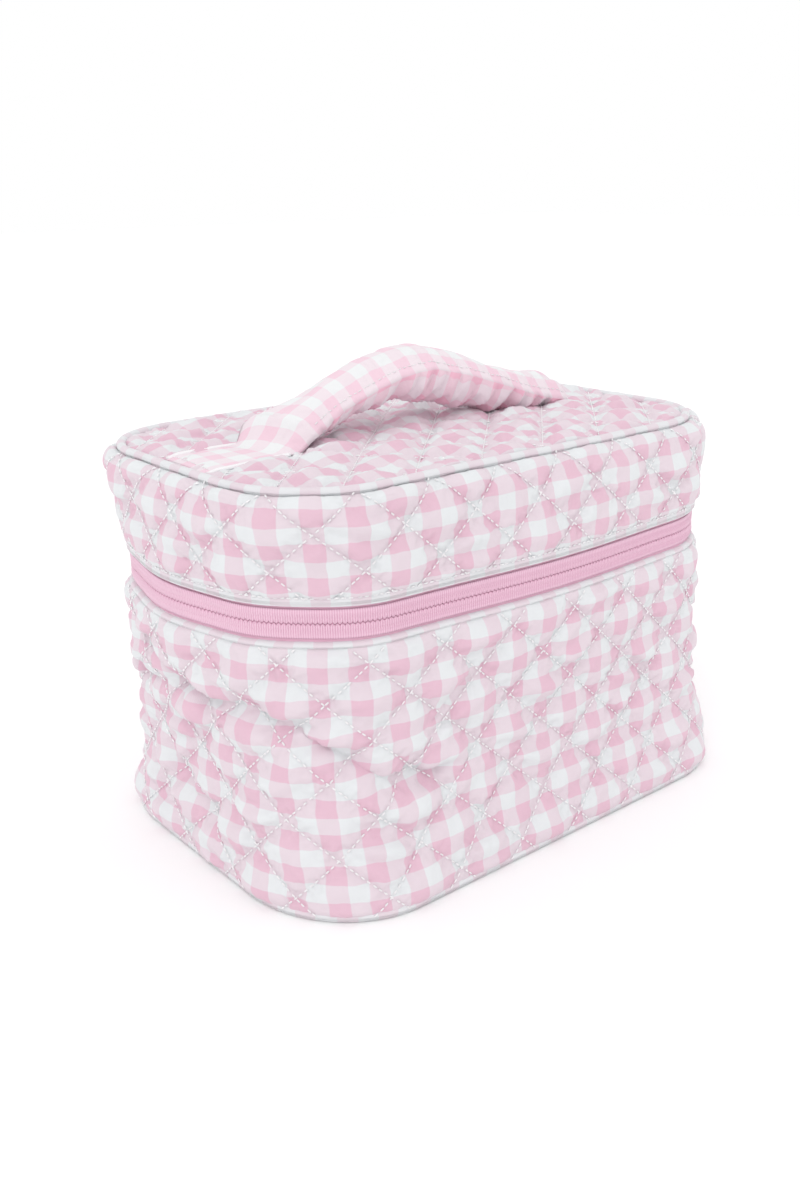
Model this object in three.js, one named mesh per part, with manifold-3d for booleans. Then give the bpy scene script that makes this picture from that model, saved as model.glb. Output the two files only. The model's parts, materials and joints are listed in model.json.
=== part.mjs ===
// Quilted makeup bag shaped like a small train case: a soft rounded box with a hinged lid, a coil zipper
// round the front and both ends, and a padded strap handle. Millimetres, +Z up, the front faces -Y, and the
// origin is the middle of the underside.
import * as THREE from 'three';
import { mergeVertices } from 'three/addons/utils/BufferGeometryUtils.js';
import Module from 'manifold-3d';

const wasm = await Module();
wasm.setup();

// Overall size
const HALF_WIDTH = 118;       // to the outside of the piping, along X
const HALF_DEPTH = 77;        // along Y
const BODY_HEIGHT = 152;      // underside to the top of the lid panel
const CORNER = 45;            // plan radius of the four upright corners
const CORNER_SEGMENTS = 3;    // three.js doubles this for an arc
const GAP = 0.3;              // left between pieces that touch
const LAYER_GAP = 0.4;        // left between the floor's padding and the layers above it

// Heights of the zipper opening
const ZIP_MIDDLE = 107;
const ZIP_SHOWING = 12.8;     // zipper seen between the two fabric edges
const RIM_TOP = ZIP_MIDDLE - ZIP_SHOWING / 2;
const HEM_BOTTOM = ZIP_MIDDLE + ZIP_SHOWING / 2;
const RIM_HEIGHT = 3.4;
const HEM_HEIGHT = 3.4;

// Quilted wall, from the outside in
const OUTER_CLOTH = 0.8;
const BATTING = 3.5;
const LINING_CLOTH = 0.6;
const WALL = OUTER_CLOTH + GAP + BATTING + GAP + LINING_CLOTH;

const PIPING = 4;             // diameter of the piping at the top and bottom edges
const BINDING = 2;            // thickness of the binding over the inside seams

// How far the soft wall stands outside (+) or inside (-) the nominal outline, by height
const WALL_PROFILE = [
  [0, 0], [6, 0], [26, -4.5], [60, -3.4], [92, -2.8], [100, -3.2], [114, -3.2], [126, -1.6], [140, -0.6],
  [152, 0],
];

// How far the foot of the soft base spreads to the front and the back, by height
const FOOT_SPREAD = [[0, 8], [17, 5.4], [31, 2.4], [50, 0]];

// Zipper
const TAPE = 0.6;
const TAPE_INSET = 2.4;       // tape's outer face, inside the wall's outer face
const COIL_THICK = 1.6;
const COIL_HEIGHT = 2;
const COIL_GAP = 1.2;         // between the two coils, where the slider's post runs
const HINGE_HALF = 69.6;      // half the width of the fabric hinge at the back
const HINGE_FACES = [3, 0.4]; // hinge strip's two faces, inside the wall's outer face
const STOP_LENGTH = 2.4;
const ZIP_END_Y = 29.2;       // where the coils end on the +X end wall

// Slider, parked at the closing end on the +X end wall
const SLIDER_Y = 22;
const SLIDER_LENGTH = 11;
const SLIDER_HEIGHT = 9;
const SLIDER_PLATE = 1.2;
const POST = 0.6;             // height of the post between the coils
const POST_LENGTH = 2.5;
const FLANGE = 0.9;           // height of the outer plate's lower flange
const FUSE = 0.2;             // overlap of the slider's joined pieces
const BRIDGE_WIDTH = 2;
const BRIDGE_HALF = 3;        // half the bridge's height
const BRIDGE_WIRE = 1.1;
const RING_OUT = 1.6;         // ring's axis, outside the outer plate
const RING_ROOM = 0.9;        // clearance round the ring's axis, under the bridge
const RING_WIRE = 1;
const RING_WIDTH = 9;
const RING_DROP = 6;
const TAB_LENGTH = 26;
const TAB_WIDTH = 7;
const TAB_CLOTH = 0.7;        // thickness of the tab's fold round the ring
const TAB_EYE = 0.35;         // clearance round the ring's wire, inside the fold
const TAB_HALF = 0.6;         // half the tab's own thickness

// Handle, along X on the middle of the lid
const STRAP_WIDTH = 28;
const STRAP_THICK = 16;
const STRAP_CLOTH = 1;
const STRAP_LEFT = -46;       // ends of the free arch
const STRAP_RIGHT = 37;
const TAB_REACH = 110;        // the sewn tabs run out to the piping
const TAB_FLAT = 84;          // from here outwards a tab lies flat
const TAB_THICK = 3;
const STRAP_STEPS = 22;       // along the arch
const STRAP_SEGMENTS = 6;
const STRAP_CUT = 60;         // more than the arch's height and half width
const SAMPLES = 400;          // points tried along the arch to find a height
const SAME_POINT = 0.05;      // points of an outline closer than this are one
const ARCH = [[-82, 155], [-66, 157.5], [-50, 162.5], [-30, 171], [-8, 176], [12, 173.5], [32, 166.5],
  [50, 159.5], [66, 155.5], [76, 154.5]];

const PINK = 0xf0b4cb;
const PALE_PINK = 0xf3dce8;
const WHITE = 0xf0f5f5;
const ZIP_PINK = 0xecaac8;

const bag = new THREE.Group();
const lid = new THREE.Group();
bag.add(lid);

function finish(color, roughness = 0.9, metalness = 0) {
  return new THREE.MeshStandardMaterial({ color, roughness, metalness });
}

function add(group, name, geometry, material) {
  const mesh = new THREE.Mesh(geometry, material);
  mesh.name = name;
  group.add(mesh);
  return mesh;
}

// ---- Booleans -------------------------------------------------------------------------------------------

function toSolid(geometry) {
  const bare = geometry.clone();
  bare.deleteAttribute('normal');
  bare.deleteAttribute('uv');
  const merged = mergeVertices(bare, 1e-4);
  return new wasm.Manifold(new wasm.Mesh({
    numProp: 3,
    vertProperties: new Float32Array(merged.attributes.position.array),
    triVerts: new Uint32Array(merged.index.array),
  }));
}

function toGeometry(solid) {
  const mesh = solid.getMesh();
  const geometry = new THREE.BufferGeometry();
  geometry.setAttribute('position', new THREE.BufferAttribute(mesh.vertProperties, 3));
  geometry.setIndex(new THREE.BufferAttribute(mesh.triVerts, 1));
  geometry.computeVertexNormals();
  return geometry;
}

function block(x0, x1, y0, y1, z0, z1) {
  const geometry = new THREE.BoxGeometry(x1 - x0, y1 - y0, z1 - z0);
  geometry.translate((x0 + x1) / 2, (y0 + y1) / 2, (z0 + z1) / 2);
  return geometry;
}

// ---- The bag's outline ----------------------------------------------------------------------------------

// Rounded rectangle, moved outwards by offset
function outline(offset, Kind = THREE.Shape) {
  const a = HALF_WIDTH + offset;
  const b = HALF_DEPTH + offset;
  const r = CORNER + offset;
  const path = new Kind();
  path.moveTo(-a + r, b);
  path.absarc(-a + r, b - r, r, Math.PI / 2, Math.PI, false);
  path.absarc(-a + r, -b + r, r, Math.PI, Math.PI * 1.5, false);
  path.absarc(a - r, -b + r, r, Math.PI * 1.5, Math.PI * 2, false);
  path.absarc(a - r, b - r, r, 0, Math.PI / 2, false);
  path.closePath();
  return path;
}

// Closed band between two offsets
function ringShape(outer, inner) {
  const shape = outline(outer);
  shape.holes.push(outline(inner, THREE.Path));
  return shape;
}

// Band that leaves the back open: from x = startX on the back, round the -X end and the front, to y = endY
// on the +X end, or with endX round the last corner to the back again
function openBandShape(outer, inner, startX, end) {
  const side = (offset) => {
    const a = HALF_WIDTH + offset;
    const b = HALF_DEPTH + offset;
    const r = CORNER + offset;
    const path = new THREE.Path();
    path.moveTo(startX, b);
    path.absarc(-a + r, b - r, r, Math.PI / 2, Math.PI, false);
    path.absarc(-a + r, -b + r, r, Math.PI, Math.PI * 1.5, false);
    path.absarc(a - r, -b + r, r, Math.PI * 1.5, Math.PI * 2, false);
    if (end.x === undefined) {
      path.lineTo(a, end.y);
    } else {
      path.absarc(a - r, b - r, r, 0, Math.PI / 2, false);
      path.lineTo(end.x, b);
    }
    return path.getPoints(CORNER_SEGMENTS);
  };
  return new THREE.Shape([...side(outer), ...side(inner).reverse()]);
}

// Value at height z of a table of [height, value] pairs
function atHeight(table, z) {
  for (let i = 1; i < table.length; i += 1) {
    const [z0, e0] = table[i - 1];
    const [z1, e1] = table[i];
    if (z <= z1) return THREE.MathUtils.lerp(e0, e1, Math.max(0, z - z0) / (z1 - z0));
  }
  return table.at(-1)[1];
}

const wallOffset = (z) => atHeight(WALL_PROFILE, z);

// Moves each point in or out, so that an upright extrusion follows the soft wall
function followWall(geometry) {
  const position = geometry.attributes.position;
  const p = new THREE.Vector2();
  const core = new THREE.Vector2();
  for (let i = 0; i < position.count; i += 1) {
    p.set(position.getX(i), position.getY(i));
    core.set(
      THREE.MathUtils.clamp(p.x, -(HALF_WIDTH - CORNER), HALF_WIDTH - CORNER),
      THREE.MathUtils.clamp(p.y, -(HALF_DEPTH - CORNER), HALF_DEPTH - CORNER),
    );
    const out = p.clone().sub(core).normalize();
    const z = position.getZ(i);
    p.addScaledVector(out, wallOffset(z));
    position.setXY(i, p.x, p.y * (1 + atHeight(FOOT_SPREAD, z) / HALF_DEPTH));
  }
  return geometry;
}

function extrudeUp(shape, z0, z1, steps = 1) {
  const geometry = new THREE.ExtrudeGeometry(shape, {
    depth: z1 - z0, steps, curveSegments: CORNER_SEGMENTS, bevelEnabled: false,
  });
  geometry.translate(0, 0, z0);
  return geometry;
}

function wallRing(outer, inner, z0, z1, steps = 1) {
  return followWall(extrudeUp(ringShape(outer, inner), z0, z1, steps));
}

// Ring with rounded edges, for piping and rolled edges
function roundedRing(outer, inner, z0, z1, round) {
  const geometry = new THREE.ExtrudeGeometry(ringShape(outer - round, inner + round), {
    depth: z1 - z0 - 2 * round,
    curveSegments: CORNER_SEGMENTS,
    bevelThickness: round,
    bevelSize: round,
    bevelSegments: 2,
  });
  geometry.translate(0, 0, z0 + round);
  return followWall(geometry);
}

function plate(offset, z0, z1) {
  return followWall(extrudeUp(outline(offset), z0, z1));
}

// ---- Quilted walls and panels ---------------------------------------------------------------------------

const LAYERS = [
  { name: 'outer', at: 0, thick: OUTER_CLOTH, color: PINK },
  { name: 'batting', at: -(OUTER_CLOTH + GAP), thick: BATTING, color: WHITE },
  { name: 'lining', at: -(OUTER_CLOTH + GAP + BATTING + GAP), thick: LINING_CLOTH, color: PALE_PINK },
];

function quiltedWall(group, prefix, z0, z1, steps) {
  for (const layer of LAYERS) {
    const geometry = wallRing(layer.at, layer.at - layer.thick, z0, z1, steps);
    add(group, `${prefix}_${layer.name}`, geometry, finish(layer.color));
  }
}

const FLOOR_OUTER_TOP = 1;
const FLOOR_PAD_TOP = 4.2;
const WALL_BOTTOM = FLOOR_PAD_TOP + LAYER_GAP;
const BOTTOM_PIPING = 0.2;    // underside of the bottom piping
const PIPING_ROUND = 1.2;
const EDGE_ROUND = 0.8;
const EDGE_PROUD = 0.2;       // rolled edges stand this far outside the wall
const BINDING_HEIGHT = 4;
const BASE_STEPS = 8;         // stacked bands of the base wall
const LID_STEPS = 3;

function buildBase() {
  quiltedWall(bag, 'base_wall', WALL_BOTTOM, RIM_TOP - RIM_HEIGHT - GAP, BASE_STEPS);
  const underPiping = -(PIPING + GAP);
  add(bag, 'base_floor_outer', plate(underPiping, 0, FLOOR_OUTER_TOP), finish(PINK));
  add(bag, 'base_floor_padding', plate(underPiping, FLOOR_OUTER_TOP + GAP, FLOOR_PAD_TOP), finish(WHITE));
  const liningTop = WALL_BOTTOM + LINING_CLOTH;
  add(bag, 'base_floor_lining', plate(-(WALL + GAP), WALL_BOTTOM, liningTop), finish(PALE_PINK));
  add(bag, 'bottom_piping',
    roundedRing(0, -PIPING, BOTTOM_PIPING, BOTTOM_PIPING + PIPING, PIPING_ROUND), finish(PINK));
  const bindingBottom = liningTop + GAP;
  const bindingOuter = -(WALL + GAP);
  add(bag, 'base_seam_binding',
    wallRing(bindingOuter, bindingOuter - BINDING, bindingBottom, bindingBottom + BINDING_HEIGHT),
    finish(PALE_PINK));
  add(bag, 'base_rim_binding',
    roundedRing(EDGE_PROUD, -WALL, RIM_TOP - RIM_HEIGHT, RIM_TOP, EDGE_ROUND), finish(WHITE));
}

const TOP_LINING = [146.4, 147];
const TOP_PAD = [147.3, 150.7];
const TOP_OUTER = [151, BODY_HEIGHT];

function buildLid() {
  quiltedWall(lid, 'lid_band', HEM_BOTTOM + HEM_HEIGHT + GAP, TOP_LINING[1], LID_STEPS);
  add(lid, 'lid_rim_hem',
    roundedRing(EDGE_PROUD, -WALL, HEM_BOTTOM, HEM_BOTTOM + HEM_HEIGHT, EDGE_ROUND), finish(WHITE));
  const insidePiping = -(PIPING + GAP);
  add(lid, 'lid_top_outer', plate(insidePiping, ...TOP_OUTER), finish(PINK));
  add(lid, 'lid_top_batting', plate(insidePiping, ...TOP_PAD), finish(WHITE));
  add(lid, 'lid_top_lining', plate(-(WALL + GAP), ...TOP_LINING), finish(PALE_PINK));
  const pipingBottom = TOP_LINING[1] + GAP;
  add(lid, 'top_piping',
    roundedRing(0, -PIPING, pipingBottom, pipingBottom + PIPING, PIPING_ROUND), finish(PINK));
  const bindingOuter = -(WALL + GAP);
  const bindingTop = TOP_LINING[0] - GAP;
  add(lid, 'lid_seam_binding',
    wallRing(bindingOuter, bindingOuter - BINDING, bindingTop - BINDING_HEIGHT, bindingTop),
    finish(PALE_PINK));
}

// ---- Zipper ---------------------------------------------------------------------------------------------

const COIL_INSIDE = COIL_GAP / 2;

function tapeStrip(z0, z1) {
  const shape = openBandShape(-TAPE_INSET, -TAPE_INSET - TAPE, -HINGE_HALF - STOP_LENGTH - 2 * GAP,
    { x: HINGE_HALF + GAP });
  return followWall(extrudeUp(shape, z0, z1));
}

function coilStrip(z0, z1) {
  const outer = -TAPE_INSET + GAP + COIL_THICK;
  const shape = openBandShape(outer, outer - COIL_THICK, -HINGE_HALF - STOP_LENGTH - 2 * GAP,
    { y: ZIP_END_Y });
  return followWall(extrudeUp(shape, z0, z1));
}

// Small block clamped over the end of a coil on the +X end wall
function endStop(z0, z1) {
  const inner = HALF_WIDTH - TAPE_INSET + GAP;
  return followWall(
    block(inner, inner + COIL_THICK, ZIP_END_Y + GAP, ZIP_END_Y + GAP + STOP_LENGTH, z0, z1));
}

function buildZipper() {
  const plastic = () => finish(ZIP_PINK, 0.5);
  const lower = [ZIP_MIDDLE - COIL_INSIDE - COIL_HEIGHT, ZIP_MIDDLE - COIL_INSIDE];
  const upper = [ZIP_MIDDLE + COIL_INSIDE, ZIP_MIDDLE + COIL_INSIDE + COIL_HEIGHT];
  add(bag, 'lower_zipper_tape', tapeStrip(RIM_TOP + GAP, lower[1]), finish(ZIP_PINK));
  add(bag, 'lower_zipper_coil', coilStrip(...lower), plastic());
  add(lid, 'upper_zipper_tape', tapeStrip(upper[0], HEM_BOTTOM - GAP), finish(ZIP_PINK));
  add(lid, 'upper_zipper_coil', coilStrip(...upper), plastic());
  add(bag, 'zipper_lower_stop', endStop(...lower), plastic());
  add(lid, 'zipper_upper_stop', endStop(...upper), plastic());

  const backY = HALF_DEPTH + wallOffset(ZIP_MIDDLE);
  const stopX = -HINGE_HALF - GAP;
  const stopY = backY - TAPE_INSET + GAP;
  add(bag, 'zipper_bottom_stop',
    block(stopX - STOP_LENGTH, stopX, stopY, stopY + COIL_THICK, lower[0], upper[1]), plastic());
  add(bag, 'hinge_strip',
    block(-HINGE_HALF, HINGE_HALF, backY - HINGE_FACES[0], backY - HINGE_FACES[1], RIM_TOP + GAP,
      HEM_BOTTOM - GAP), finish(PINK));
}

// ---- Slider and pull ------------------------------------------------------------------------------------

const TAPE_FACE = HALF_WIDTH + wallOffset(ZIP_MIDDLE) - TAPE_INSET;
const SLIDER_FACE = TAPE_FACE + GAP + COIL_THICK + GAP;   // inside of the outer plate
const INNER_PLATE = TAPE_FACE - TAPE - GAP;               // outside of the inner plate
const RING_X = SLIDER_FACE + SLIDER_PLATE + RING_OUT;     // axis that the pull swings on

function buildSlider() {
  const slider = new THREE.Group();
  slider.position.set(0, SLIDER_Y, ZIP_MIDDLE);
  bag.add(slider);
  const y = SLIDER_LENGTH / 2;
  const z = SLIDER_HEIGHT / 2;
  const outerPlate = block(SLIDER_FACE, SLIDER_FACE + SLIDER_PLATE, -y, y, -z, z);
  const innerPlate = block(INNER_PLATE - SLIDER_PLATE, INNER_PLATE, -y, y, -z, z);
  const post = block(INNER_PLATE - FUSE, SLIDER_FACE + FUSE, y - POST_LENGTH, y, -POST / 2, POST / 2);
  const flange = block(SLIDER_FACE - COIL_THICK, SLIDER_FACE + FUSE, -y, y, -z, -z + FLANGE);
  const body = [innerPlate, post, flange].reduce((sum, g) => sum.add(toSolid(g)), toSolid(outerPlate));
  const metal = () => finish(0xe7a3bf, 0.35, 0.5);
  add(slider, 'slider_body', toGeometry(body), metal());

  // The bridge arches over the pull's ring
  const plateTop = SLIDER_FACE + SLIDER_PLATE + GAP;
  const bridge = (width, top, half) => toSolid(block(plateTop, top, -width / 2, width / 2, -half, half));
  const arch = bridge(BRIDGE_WIDTH, RING_X + RING_ROOM + 1, BRIDGE_HALF)
    .subtract(bridge(2 * BRIDGE_WIDTH, RING_X + RING_ROOM, BRIDGE_HALF - BRIDGE_WIRE));
  add(slider, 'slider_bridge', toGeometry(arch), metal());

  const pull = new THREE.Group();
  pull.position.x = RING_X;
  slider.add(pull);
  add(pull, 'pull_ring', ringGeometry(), finish(0xd8d4d6, 0.25, 0.9));
  add(pull, 'pull_tab', tabGeometry(), finish(PINK));
}

// Rectangular wire ring in the Y-Z plane, hanging from a bar at the origin
function ringGeometry() {
  const frame = (grow) => {
    const half = RING_WIDTH / 2 + grow;
    return block(-RING_WIRE / 2, RING_WIRE / 2, -half, half, -RING_DROP - grow, grow);
  };
  const hole = frame(-RING_WIRE / 2);
  hole.scale(2, 1, 1);
  return toGeometry(toSolid(frame(RING_WIRE / 2)).subtract(toSolid(hole)));
}

// Fabric tab whose folded top goes round the ring's lower bar
function tabGeometry() {
  const eye = RING_WIRE / 2 + TAB_EYE;
  const head = eye + TAB_CLOTH;
  const start = Math.asin(TAB_HALF / head);
  const shape = new THREE.Shape();
  shape.absarc(0, 0, head, -Math.PI / 2 + start, Math.PI * 1.5 - start, false);
  shape.lineTo(-TAB_HALF, -TAB_LENGTH);
  shape.lineTo(TAB_HALF, -TAB_LENGTH);
  shape.holes.push(new THREE.Path().absarc(0, 0, eye, 0, Math.PI * 2, false));
  const geometry = new THREE.ExtrudeGeometry(shape, { depth: TAB_WIDTH, curveSegments: 8, bevelEnabled: false });
  geometry.rotateX(Math.PI / 2);
  geometry.translate(0, TAB_WIDTH / 2, -RING_DROP);
  return geometry;
}

// ---- Handle ---------------------------------------------------------------------------------------------

const archCurve = new THREE.CatmullRomCurve3(ARCH.map(([x, z]) => new THREE.Vector3(x, 0, z)));

// Oval section, for a sweep along the arch: width along Y, thickness across the strap
function strapSection(shrink, Kind = THREE.Shape) {
  const section = new Kind();
  section.absellipse(0, 0, STRAP_WIDTH / 2 - shrink, STRAP_THICK / 2 - shrink, 0, Math.PI * 2, false, 0);
  return section;
}

function sweptStrap(section) {
  const swept = new THREE.ExtrudeGeometry(section, {
    steps: STRAP_STEPS, curveSegments: STRAP_SEGMENTS, bevelEnabled: false, extrudePath: archCurve,
  });
  const free = block(STRAP_LEFT, STRAP_RIGHT, -STRAP_CUT, STRAP_CUT, BODY_HEIGHT, BODY_HEIGHT + STRAP_CUT);
  return toGeometry(toSolid(swept).intersect(toSolid(free)));
}

// Flat tab sewn to the lid, rising into the end of the strap; side is -1 or +1
function strapEnd(side) {
  const meet = side < 0 ? STRAP_LEFT - GAP : STRAP_RIGHT + GAP;
  const foot = BODY_HEIGHT + GAP;
  const points = archCurve.getPoints(2 * STRAP_STEPS).filter((p) => side * p.x >= side * meet);
  const meetHeight = archCurve.getPoints(SAMPLES)
    .reduce((best, p) => (Math.abs(p.x - meet) < Math.abs(best.x - meet) ? p : best)).z;
  const along = [new THREE.Vector2(meet, meetHeight), ...points.map((p) => new THREE.Vector2(p.x, p.z))];
  along.sort((p, q) => side * (p.x - q.x));
  const far = side * TAB_FLAT;
  const thickAt = (x) => THREE.MathUtils.lerp(STRAP_THICK, TAB_THICK, Math.min(1, (x - meet) / (far - meet)));
  const top = along.map((p) => new THREE.Vector2(p.x, Math.max(foot + TAB_THICK, p.y + thickAt(p.x) / 2)));
  const under = along.map((p) => new THREE.Vector2(p.x, Math.max(foot, p.y - thickAt(p.x) / 2)));
  const sideView = [...top, new THREE.Vector2(side * TAB_REACH, foot + TAB_THICK),
    new THREE.Vector2(side * TAB_REACH, foot), ...under.reverse()];
  const kept = sideView.filter((p, i) => i === 0 || p.distanceTo(sideView[i - 1]) > SAME_POINT);
  const geometry = new THREE.ExtrudeGeometry(new THREE.Shape(kept), { depth: STRAP_WIDTH, bevelEnabled: false });
  geometry.rotateX(Math.PI / 2);
  geometry.translate(0, STRAP_WIDTH / 2, 0);
  return geometry;
}

function buildHandle() {
  const sleeve = strapSection(0);
  sleeve.holes.push(strapSection(STRAP_CLOTH, THREE.Path));
  add(lid, 'handle_cover', sweptStrap(sleeve), finish(PINK));
  add(lid, 'handle_filling', sweptStrap(strapSection(STRAP_CLOTH + GAP)), finish(WHITE));
  add(lid, 'handle_tab_left', strapEnd(-1), finish(PINK));
  add(lid, 'handle_tab_right', strapEnd(1), finish(PINK));
}

buildBase();
buildLid();
buildZipper();
buildSlider();
buildHandle();

export default bag;
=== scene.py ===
# Looks of the quilted makeup bag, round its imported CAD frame. Shapes are worked out in millimetres and
# turned into metres when a mesh is made; the frame gives the main sizes.
import json
import math

import bmesh
import bpy
import numpy as np
from mathutils import Matrix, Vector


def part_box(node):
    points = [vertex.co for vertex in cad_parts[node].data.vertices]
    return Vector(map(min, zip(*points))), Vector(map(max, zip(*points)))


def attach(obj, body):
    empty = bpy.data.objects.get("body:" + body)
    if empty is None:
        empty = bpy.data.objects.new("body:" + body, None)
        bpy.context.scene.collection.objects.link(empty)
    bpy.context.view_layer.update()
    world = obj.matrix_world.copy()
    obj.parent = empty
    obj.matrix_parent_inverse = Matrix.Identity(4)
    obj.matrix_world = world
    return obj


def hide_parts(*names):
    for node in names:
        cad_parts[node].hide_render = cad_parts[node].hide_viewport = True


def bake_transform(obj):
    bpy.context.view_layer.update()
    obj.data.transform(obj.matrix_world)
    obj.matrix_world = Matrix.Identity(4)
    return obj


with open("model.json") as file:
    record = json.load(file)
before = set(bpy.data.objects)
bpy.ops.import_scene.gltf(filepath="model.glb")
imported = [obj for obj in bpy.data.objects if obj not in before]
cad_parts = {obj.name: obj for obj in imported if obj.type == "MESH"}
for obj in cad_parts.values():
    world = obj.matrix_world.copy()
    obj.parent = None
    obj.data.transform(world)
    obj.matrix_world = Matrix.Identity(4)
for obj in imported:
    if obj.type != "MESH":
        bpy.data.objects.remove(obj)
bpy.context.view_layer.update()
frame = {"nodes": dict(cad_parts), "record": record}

MM = 0.001
RNG = np.random.default_rng(11)


def node_box(node):
    low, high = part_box(node)
    return np.array(low) / MM, np.array(high) / MM


# ---- Driving sizes, in millimetres ------------------------------------------

CORNER = 45.0                 # plan radius of the upright corners
HALF_WIDTH = node_box("bottom_piping")[1][0]
HALF_DEPTH = 77.0             # at the lid
WALL_INSET = 3.0              # how far the walls lie inside the neat outline, on average
BODY_TOP = node_box("lid_top_outer")[1][2]
RIM_LOW, RIM_TOP = (node_box("base_rim_binding")[i][2] for i in (0, 1))
HEM_LOW, HEM_TOP = (node_box("lid_rim_hem")[i][2] for i in (0, 1))
ZIP_MID = (RIM_TOP + HEM_LOW) / 2
HINGE_HALF = node_box("hinge_strip")[1][0]
CLOTH = 0.5                   # thickness of one cloth
WALL_THICK = 5.5              # outer face to the lining's face
WADDING_THICK = 3.2

# How far the wall stands from the neat outline, by height; the foot spreads to the front and back
WALL_PROFILE = np.array([
    (0, -1.5), (6, -1.2), (26, -4.5), (60, -3.4), (92, -2.8), (100, -3.2), (114, -3.2), (126, -2.2),
    (140, -0.6), (152, 0)], float)
FOOT_SPREAD = np.array([(0, 8), (17, 5.4), (31, 2.4), (50, 0)], float)
# Height, then how far the soft bag leans there along X and Y
LEAN = np.array([
    (0, -1.5, -4.5), (30, -0.5, -2.5), (60, 0.3, 0), (112, 0, 0), (126, -0.5, 0.5), (152, -1.5, 1.8)], float)

DIAMONDS_AROUND = 22          # quilting diamonds round the walls
CELLS = 14                    # mesh cells across one diamond
CHECKS_AROUND = 50            # gingham repeats round the walls
STITCH = 1.75                 # length of one stitch that shows
STITCH_PITCH = 2.6            # from one stitch to the next
THREAD_WIDTH = 0.34           # half the width of a quilting stitch
PUFF = 3.3                    # height of a puff between the quilting lines
PUCKER = 4.7                  # spacing of the small gathers along a quilting line
TAB_END = 110.0               # the strap's tabs are sewn down as far out as this
TOP_PHASES = (2, 6)           # row and column phases of the quilting on the lid and the floor
RIB = 0.9                     # pitch of the zipper coil's turns

# ---- The bag's outline ------------------------------------------------------

ARC = math.pi / 2 * (CORNER - WALL_INSET)
SIDE_X = HALF_WIDTH - CORNER
SIDE_Y = HALF_DEPTH - CORNER
# From the middle of the back, round the -X end, the front and the +X end: distance, core point, direction
KNOTS = np.cumsum([0, SIDE_X, ARC, 2 * SIDE_Y, ARC, 2 * SIDE_X, ARC, 2 * SIDE_Y, ARC, SIDE_X])
KNOT_X = np.array([0, -1, -1, -1, -1, 1, 1, 1, 1, 0]) * SIDE_X
KNOT_Y = np.array([1, 1, 1, -1, -1, -1, -1, 1, 1, 1]) * SIDE_Y
KNOT_ANGLE = np.radians([90, 90, 180, 180, 270, 270, 360, 360, 450, 450])
AROUND = KNOTS[-1]


def at_height(table, z, column=1):
    """Smoothed value of a table at height z."""
    return sum(np.interp(z + d, table[:, 0], table[:, column]) for d in (-6, -3, 0, 3, 6)) / 5


def settle(x, y, z):
    """Point of the neat bag, moved to where the soft one has it."""
    spread = 1 + at_height(FOOT_SPREAD, z) / HALF_DEPTH
    return np.stack([x + at_height(LEAN, z, 1), y * spread + at_height(LEAN, z, 2), z + 0 * x], -1)


def outline_frame(s):
    """Core point and outward direction at distance s round the bag."""
    s = np.where(s == AROUND, s, np.mod(s, AROUND))
    x, y = np.interp(s, KNOTS, KNOT_X), np.interp(s, KNOTS, KNOT_Y)
    angle = np.interp(s, KNOTS, KNOT_ANGLE)
    return x, y, np.cos(angle), np.sin(angle)


def wall_point(s, z, out=0.0):
    """Point on the bag's side at distance s and height z, moved outwards by out."""
    s, z, out = np.broadcast_arrays(np.asarray(s, float), np.asarray(z, float), np.asarray(out, float))
    x, y, cx, cy = outline_frame(s)
    reach = CORNER + at_height(WALL_PROFILE, z) + slouch(s, z) + out
    return settle(x + reach * cx, y + reach * cy, z)


def lengths_along(points):
    """Distance along a row of points, at each of them."""
    return np.concatenate([[0], np.cumsum(np.linalg.norm(np.diff(points, axis=0), axis=1))])


def bump(x):
    """1 at zero, falling smoothly to nothing by about 2.5."""
    return np.exp(-x * x)


def smooth(x, low, high):
    """Eased step from 0 at low to 1 at high."""
    t = np.clip((x - low) / (high - low), 0, 1)
    return t * t * (3 - 2 * t)


def ripple(s, z, waves, seed):
    """Sum of a few long waves that close up round the bag."""
    rng = np.random.default_rng(seed)
    total = 0
    for _ in range(waves):
        turns, tilt, phase = rng.integers(2, 9), rng.uniform(-0.05, 0.05), rng.uniform(0, 2 * math.pi)
        total = total + np.sin(2 * math.pi * turns * s / AROUND + tilt * z + phase)
    return total / waves


# Creases in the soft base wall: path of (s, z) points, depth, half width
CREASES = [
    ([(143, 89), (170, 76), (191, 73), (215, 74), (230, 69), (247, 59), (259, 49), (285, 44)], 3.6, 4.6),
    ([(135, 64), (164, 71), (176, 71)], 2.4, 4.0),
    ([(156, 36), (168, 25), (182, 23)], 2.6, 4.6),
]
# Where the padded wall bulges or is hollow: middle (s, z), reach along s and z, how far out
SWELLS = [
    ((171, 100), (34, 36), 9.0),
    ((347, 104), (62, 40), 6.0),
    ((347, 52), (70, 26), 2.0),
    ((112, 60), (34, 42), -3.0),
    ((118, 132), (40, 15), -2.2),
    ((522, 136), (55, 22), -2.2),
    ((236, 104), (17, 36), -2.0),
    ((225, 36), (26, 17), 2.2),
    ((684, 50), (60, 30), 2.5),
    ((0, 50), (60, 30), 2.5),
]


def crease(s, z, path, depth, width):
    """Valley along a path, with a low shoulder on both sides."""
    nearest = np.full(np.broadcast(s, z).shape, 1e9)
    for (s0, z0), (s1, z1) in zip(path, path[1:]):
        ds, dz = s1 - s0, z1 - z0
        along = np.clip(((s - s0) * ds + (z - z0) * dz) / (ds ** 2 + dz ** 2), 0, 1)
        nearest = np.minimum(nearest, np.hypot(s - (s0 + along * ds), z - (z0 + along * dz)))
    return depth * (0.5 * bump((nearest - 2 * width) / width) - bump(nearest / width))


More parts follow.
